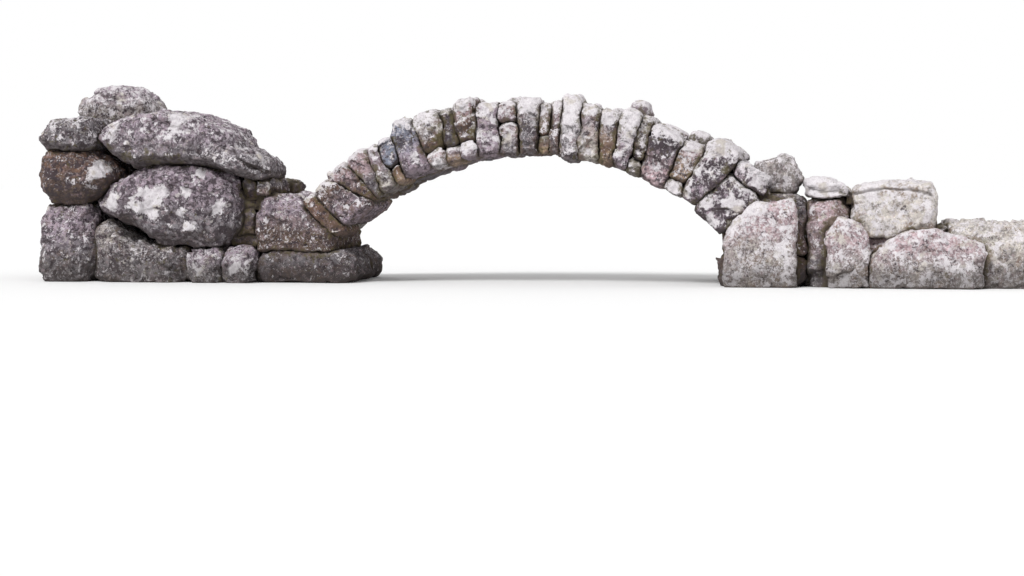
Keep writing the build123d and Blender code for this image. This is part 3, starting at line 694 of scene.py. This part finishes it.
def weather_tree():
    """Geometry Nodes that wear a worked stone: broad hollows, split facets, chips, cracks and grain. They are
    held back in a joint, and carve pushes in the cracks and ledges that are listed."""
    tree = bpy.data.node_groups.new("weathered_stone", "GeometryNodeTree")
    tree.is_modifier = True
    tree.interface.new_socket(name="Stones", in_out="INPUT", socket_type="NodeSocketGeometry")
    for name, size in WEATHERING.items():
        socket = tree.interface.new_socket(name=name, in_out="INPUT", socket_type="NodeSocketFloat")
        socket.default_value = size
    tree.interface.new_socket(name="Material", in_out="INPUT", socket_type="NodeSocketMaterial")
    tree.interface.new_socket(name="Stones", in_out="OUTPUT", socket_type="NodeSocketGeometry")
    g = Graph(tree)
    given = g.add("NodeGroupInput").outputs
    place = g.add("GeometryNodeInputPosition").outputs[0]
    normal = g.add("GeometryNodeInputNormal").outputs[0]

    def read(name, kind="FLOAT"):
        return g.add("GeometryNodeInputNamedAttribute", {"Name": name}, data_type=kind).outputs[0]

    def facets(scale, tilt):
        """Flat facets at odd angles, with steps between them, as split rock has."""
        cells = g.cells(bent, scale)
        slope = g.vector("SUBTRACT", cells.outputs["Color"], HALF)
        across = g.vector("SUBTRACT", bent, cells.outputs["Position"])
        return g.times(g.dot(across, slope), tilt)

    # Places on the stone in its own patterns, and the sway that neighbours share
    own = g.vector("ADD", place, read("shift", "FLOAT_VECTOR"))
    bent = g.vector("ADD", own, g.scaled(g.drift(own, BENDS), BEND_REACH))
    settled = g.vector("ADD", place, g.scaled(g.drift(place, SWAYS), given["Joint Sway"]))

    # Hollows, facets, chips, cracks and grain, plainer on the underside
    hollow = g.math("SUBTRACT", g.noise(own, *HOLLOWS), 0.5)
    seam = g.step(g.cells(bent, CRACK_SCALE, "DISTANCE_TO_EDGE").outputs["Distance"], *CRACK_RIM)
    grain = g.math("SUBTRACT", g.noise(own, *GRAINS), 0.5)
    raised = g.total(
        g.times(hollow, given["Hollow Depth"]),
        facets(FACET_SCALE, given["Facet Tilt"]),
        facets(CHIP_SCALE, given["Chip Tilt"]),
        g.times(seam, g.times(given["Crack Depth"], -1.0)),
    )
    facing = g.parts(normal)
    calm = g.times(g.step(facing[2], *CALM_SLOPES), given["Underside Calm"])
    plain = g.math("SUBTRACT", 1.0, calm)
    raised = g.times(raised, g.times(plain, read("relief")))
    raised = g.total(raised, g.times(grain, g.times(plain, given["Grain Depth"])))

    # Less of it in a joint, where the stone closes towards its neighbour
    crevice = read("crevice")
    outward = g.times(g.math("MAXIMUM", raised, 0.0), g.math("SUBTRACT", 1.0, crevice))
    inward = g.times(g.math("MINIMUM", raised, 0.0), g.step(crevice, *WORN_JOINT))
    towards = g.math("MAXIMUM", g.dot(normal, read("toward", "FLOAT_VECTOR")), 0.0)
    closing = g.times(g.times(towards, given["Joint Fill"]), g.step(crevice, *CLOSING_JOINT))

    # The cracks and ledges that are listed, on the near face
    front = g.math("MAXIMUM", g.times(facing[1], -1.0), 0.0)
    carved = g.times(read("carve"), g.times(front, -1.0))

    moved = g.vector("ADD", settled, g.scaled(normal, g.total(outward, inward, closing, carved)))
    level = g.vector("MAXIMUM", moved, GROUND)
    shaped = g.add("GeometryNodeSetPosition", {"Geometry": given["Stones"], "Position": level})
    smooth = g.add("GeometryNodeSetShadeSmooth", {0: shaped.outputs[0]})
    whole = g.add("GeometryNodeRealizeInstances", {0: smooth.outputs[0]})
    dressed = g.add("GeometryNodeSetMaterial", {"Geometry": whole.outputs[0], "Material": given["Material"]})
    g.add("NodeGroupOutput", {0: dressed.outputs[0]})
    return tree


def socket_id(tree, name):
    """The identifier of a tree's input, by its name."""
    inputs = (item for item in tree.interface.items_tree if item.in_out == "INPUT")
    return next(item.identifier for item in inputs if item.name == name)


def evaluated_mesh(holder):
    """An object's mesh as its modifiers leave it."""
    bpy.context.view_layer.update()
    depsgraph = bpy.context.evaluated_depsgraph_get()
    seen = holder.evaluated_get(depsgraph)
    return bpy.data.meshes.new_from_object(seen, preserve_all_data_layers=True, depsgraph=depsgraph)


def middle(points):
    """How far through the bridge and how high the middle of a stone lies."""
    return points[:, 1].mean(), points[:, 2].mean()


def near_row(stones):
    """How far through the bridge the near row of a node's stones reaches."""
    return min(middle(points)[0] for points, _ in stones) + NEAR_ROW


def loose_stones(source):
    """The separate stones of a node as lists of points and faces, near ones first, each row from the foot
    up."""
    shell = bmesh.new()
    shell.from_mesh(source.data)
    bmesh.ops.remove_doubles(shell, verts=shell.verts, dist=SAME_POINT)
    shell.verts.ensure_lookup_table()
    seen = set()
    stones = []
    for first in shell.verts:
        if first in seen:
            continue
        group, heap = [], [first]
        seen.add(first)
        while heap:
            vertex = heap.pop()
            group.append(vertex)
            for edge in vertex.link_edges:
                other = edge.other_vert(vertex)
                if other not in seen:
                    seen.add(other)
                    heap.append(other)
        place = {vertex: i for i, vertex in enumerate(group)}
        faces = {face for vertex in group for face in vertex.link_faces}
        points = np.array([vertex.co for vertex in group])
        polygons = [[place[vertex] for vertex in face.verts] for face in faces]
        stones.append((points, sorted(polygons)))
    shell.free()
    near = near_row(stones)

    def row_and_height(stone):
        through, height = middle(stone[0])
        return through > near, height

    return sorted(stones, key=row_and_height)


def wedged_stone(left, right, near, far, bed, top, draw):
    """A small rough stone inside these limits, as points and faces."""
    points = np.array([(x, y, z) for x in (left, right) for y in (near, far) for z in (bed, top)])
    points += draw.uniform(-WEDGE_ROUGHNESS, WEDGE_ROUGHNESS, points.shape) * np.ptp(points, axis=0)
    return points, WEDGE_FACES


def worked_stone(points, polygons, voxel, wear):
    """A stone's surface as an even net of points and four-sided faces, its arrises worn round."""
    mesh = bpy.data.meshes.new("stone")
    mesh.from_pydata(points.tolist(), [], polygons)
    holder = bpy.data.objects.new("stone", mesh)
    bpy.context.scene.collection.objects.link(holder)
    remesh = holder.modifiers.new("net", "REMESH")
    remesh.mode = "VOXEL"
    remesh.voxel_size = voxel
    smooth = holder.modifiers.new("wear", "SMOOTH")
    smooth.factor = WEAR_PASS
    smooth.iterations = max(FEWEST_PASSES, round(PASSES_PER_WEAR * (wear / voxel) ** 2))
    net = evaluated_mesh(holder)
    corners = np.empty(len(net.vertices) * 3, np.float32)
    net.vertices.foreach_get("co", corners)
    loops = np.empty(len(net.loops), np.int32)
    net.loops.foreach_get("vertex_index", loops)
    bpy.data.objects.remove(holder)
    bpy.data.meshes.remove(mesh)
    bpy.data.meshes.remove(net)
    return corners.reshape(-1, 3), loops.reshape(-1, 4)


def net_mesh(name, corners, quads):
    """A mesh of four-sided faces."""
    mesh = bpy.data.meshes.new(name)
    mesh.vertices.add(len(corners))
    mesh.vertices.foreach_set("co", corners.ravel())
    mesh.loops.add(quads.size)
    mesh.loops.foreach_set("vertex_index", quads.ravel())
    mesh.polygons.add(len(quads))
    mesh.polygons.foreach_set("loop_start", np.arange(0, quads.size, 4))
    mesh.update(calc_edges=True)
    return mesh


def store_values(mesh, values):
    """Stores the values of each stone's points on a mesh that holds the stones one after another."""
    for name in values[0]:
        data = np.concatenate([value[name] for value in values]).astype(np.float32)
        width = data.shape[1] if data.ndim > 1 else 1
        kind = {1: "FLOAT", 3: "FLOAT_VECTOR", 4: "FLOAT_COLOR"}[width]
        field = {1: "value", 3: "vector", 4: "color"}[width]
        mesh.attributes.new(name, kind, "POINT").data.foreach_set(field, data.ravel())


def far_look(draw):
    """The look of a stone that the photograph doesn't show."""
    foot, head = draw.choice(FAR_TONES, 2)
    return Look(str(foot), str(head), *draw.uniform(FAR_LEAST, FAR_MOST))


def joint_lines(corners, own, crowd):
    """The line from each point of a stone to the nearest other stone, and how deep in a joint the point is: 1
    where the stones touch, 0 from JOINT_REACH off."""
    low, high = corners.min(axis=0) - JOINT_REACH, corners.max(axis=0) + JOINT_REACH
    points, polygons, close = [], [], np.zeros(len(corners), bool)
    for stone in crowd:
        least, most = stone[0].min(axis=0), stone[0].max(axis=0)
        if stone is own or (most < low).any() or (least > high).any():
            continue
        close |= ((corners > least - JOINT_REACH) & (corners < most + JOINT_REACH)).all(axis=1)
        polygons += [[corner + len(points) for corner in polygon] for polygon in stone[1]]
        points += stone[0].tolist()
    lines, depth = np.zeros((len(corners), 3)), np.zeros(len(corners))
    if not polygons:
        return lines, depth
    others = BVHTree.FromPolygons(points, polygons)
    for i in np.flatnonzero(close):
        nearest, _, _, distance = others.find_nearest(corners[i].tolist(), JOINT_REACH)
        if nearest is not None:
            lines[i] = np.array(nearest) - corners[i]
            depth[i] = 1 - distance / JOINT_REACH
    return lines, depth


def unrolled(node, corners):
    """Points in the flat of the near face: along and up a bank's stone, round and outward on the ring."""
    if node not in RING_LOOKS:
        return corners[:, [0, 2]]
    outward = np.hypot(corners[:, 0], corners[:, 2] - ARCH_CENTRE_HEIGHT)
    turn = np.arctan2(corners[:, 0], corners[:, 2] - ARCH_CENTRE_HEIGHT)
    return np.column_stack((turn * outward.mean(), outward))


def touch_up(node, corners, limits, value):
    """Adds a piece's marks and grooves to the values of one of its near stones. The limits are the lowest and
    highest places in the flat of the piece's near face."""
    size = limits[1] - limits[0]
    shares = (unrolled(node, corners) - limits[0]) / size
    on_face = np.clip(MARK_EDGE - (corners[:, 1] - corners[:, 1].min()) / MARK_DEPTH, 0, 1)
    for rank, mark in enumerate(MARKS.get(node, ())):
        across, up = ((shares - (mark.across, mark.up)) * size).T
        around = np.arctan2(up, across)
        lobes = 1 + BROAD_LOBES * np.sin(2 * around + rank) + FINE_LOBES * np.sin(5 * around + 2 * rank)
        away = np.hypot(across, up) / (mark.radius * lobes)
        strength = MARK_STRENGTH * mark.amount * on_face * np.clip(MARK_EDGE - away, 0, 1)
        value[mark.kind] = value[mark.kind] + strength
    for groove in GROOVES.get(node, ()):
        for start, end in zip(groove.course, groove.course[1:]):
            start, end = np.array(start) * size, np.array(end) * size
            along = ((shares * size - start) @ (end - start)) / ((end - start) @ (end - start))
            nearest = start + np.clip(along, 0, 1)[:, None] * (end - start)
            away = np.hypot(*(shares * size - nearest).T) / groove.width
            depth = groove.depth * np.clip(GROOVE_EDGE - away ** 2, 0, 1)
            value["carve"] = np.maximum(value["carve"], depth)


def dress_node(node, stones, crowd, draw):
    """Works a node's stones into one net, with each stone's look stored on its points."""
    in_ring = node in RING_LOOKS
    looks = LOOKS[node]
    near = near_row(stones)
    flat = np.concatenate([unrolled(node, points) for points, _ in stones if middle(points)[0] < near])
    limits = (flat.min(axis=0), flat.max(axis=0))
    coarse = 1.0
    nets, quads, values, count = [], [], [], 0
    for rank, stone in enumerate(stones):
        points, polygons = stone
        seen = middle(points)[0] < near
        look = far_look(draw) if in_ring and not seen else looks[min(rank, len(looks) - 1)]
        voxel = (RING_VOXEL if in_ring else BANK_VOXEL) if seen else HIDDEN_VOXEL
        worn = WEAR.get(node, RING_WEAR if in_ring else BANK_WEAR)
        corners, faces = worked_stone(points, polygons, voxel * coarse, worn)
        size = len(corners)
        up = unrolled(node, corners)[:, 1]
        toward, crevice = joint_lines(corners, stone, crowd)
        value = {
            "shift": np.tile(draw.uniform(-OWN_PLACE_REACH, OWN_PLACE_REACH, 3), (size, 1)),
            "share": (up - up.min()) / (up.max() - up.min()),
            "toward": toward,
            "crevice": crevice,
            "carve": np.zeros(size),
            "relief": np.full(size, RELIEF.get(node, RING_RELIEF if in_ring else BANK_RELIEF)),
            "foot_tone": np.tile(linear(look.foot), (size, 1)),
            "head_tone": np.tile(linear(look.head), (size, 1)),
        }
        for growth in ("lichen", "dark", "stain", "moss", "rosette"):
            value[growth] = np.full(size, getattr(look, growth))
        if seen:
            touch_up(node, corners, limits, value)
        nets.append(corners)
        quads.append(faces + count)
        count += size
        values.append(value)
    mesh = net_mesh(node, np.concatenate(nets), np.concatenate(quads))
    store_values(mesh, values)
    return mesh


def dress_bridge():
    """Replaces every node of the frame by its weathered stones, and wedges the packing stones between."""
    slots = {part["node"]: part["material_slot"] for part in frame["record"]["subparts"]}
    finishes = {name: granite(name, *values) for name, values in FINISHES.items()}
    draw = np.random.default_rng(DRAW_SEED)
    stones = {node: loose_stones(frame["nodes"][node]) for node in sorted(frame["nodes"])}
    for name, wedges in WEDGED.items():
        slots[name] = WEDGE_SLOT
        stones[name] = [wedged_stone(*wedge, draw) for wedge in wedges]
    crowd = [stone for group in stones.values() for stone in group]
    tree = weather_tree()
    for node, group in stones.items():
        piece = bpy.data.objects.new(f"{node}_weathered", dress_node(node, group, crowd, draw))
        bpy.context.scene.collection.objects.link(piece)
        wear = piece.modifiers.new("wear", "NODES")
        wear.node_group = tree
        wear[socket_id(tree, "Material")] = finishes[slots[node]]
        worn = evaluated_mesh(piece)
        piece.modifiers.remove(wear)
        piece.data = worn
        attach(piece, "root")
        if node in frame["nodes"]:
            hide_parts(node)


def add_camera():
    """Sets the camera at the photograph's viewpoint, looking along its own line."""
    camera = bpy.data.cameras.new("camera")
    camera.sensor_width = SENSOR_WIDTH
    camera.lens = LENS
    camera.clip_end = VIEW_REACH
    holder = bpy.data.objects.new("camera", camera)
    bpy.context.scene.collection.objects.link(holder)
    away = Vector((sin(CAMERA_TURN), -cos(CAMERA_TURN), 0))
    level, down = cos(CAMERA_DIP), sin(CAMERA_DIP)
    holder.location = CAMERA_DISTANCE * away + Vector((AIM_ALONG, RING_FACE, CAMERA_HEIGHT))
    look = Vector((-sin(CAMERA_TURN) * level, cos(CAMERA_TURN) * level, -down))
    holder.rotation_euler = look.to_track_quat("-Z", "Y").to_euler()
    bpy.context.scene.camera = holder


def add_floor():
    """Lays the white floor."""
    bpy.ops.mesh.primitive_plane_add(size=FLOOR_SIZE, location=(0, 0, 0))
    floor = bpy.context.object
    floor.name = "floor"
    white = bpy.data.materials.new("floor_white")
    white.use_nodes = True
    paint = white.node_tree.nodes["Principled BSDF"]
    paint.inputs["Base Color"].default_value = FLOOR_WHITE
    paint.inputs["Roughness"].default_value = 1.0
    floor.data.materials.append(white)


def add_light():
    """Sets the soft light, before a background that is white to the camera and in reflections."""
    world = bpy.data.worlds.new("world")
    bpy.context.scene.world = world
    world.use_nodes = True
    g = Graph(world.node_tree)
    path = g.add("ShaderNodeLightPath").outputs
    mirrored = g.math("MAXIMUM", path["Is Glossy Ray"], path["Is Transmission Ray"])
    seen = g.math("MAXIMUM", path["Is Camera Ray"], mirrored)
    sky = world.node_tree.nodes["Background"]
    sky.inputs["Color"].default_value = (1, 1, 1, 1)
    g.put(sky.inputs["Strength"], g.math("ADD", SKY_STRENGTH, g.times(seen, 1 - SKY_STRENGTH)))
    sun = bpy.data.lights.new("sun", "SUN")
    sun.energy = SUN_STRENGTH
    sun.angle = SUN_SOFTNESS
    lamp = bpy.data.objects.new("sun", sun)
    lamp.rotation_euler = (SUN_TILT, 0, SUN_TURN)
    bpy.context.scene.collection.objects.link(lamp)


bpy.context.scene.view_settings.view_transform = "Standard"
add_camera()
add_floor()
add_light()
dress_bridge()
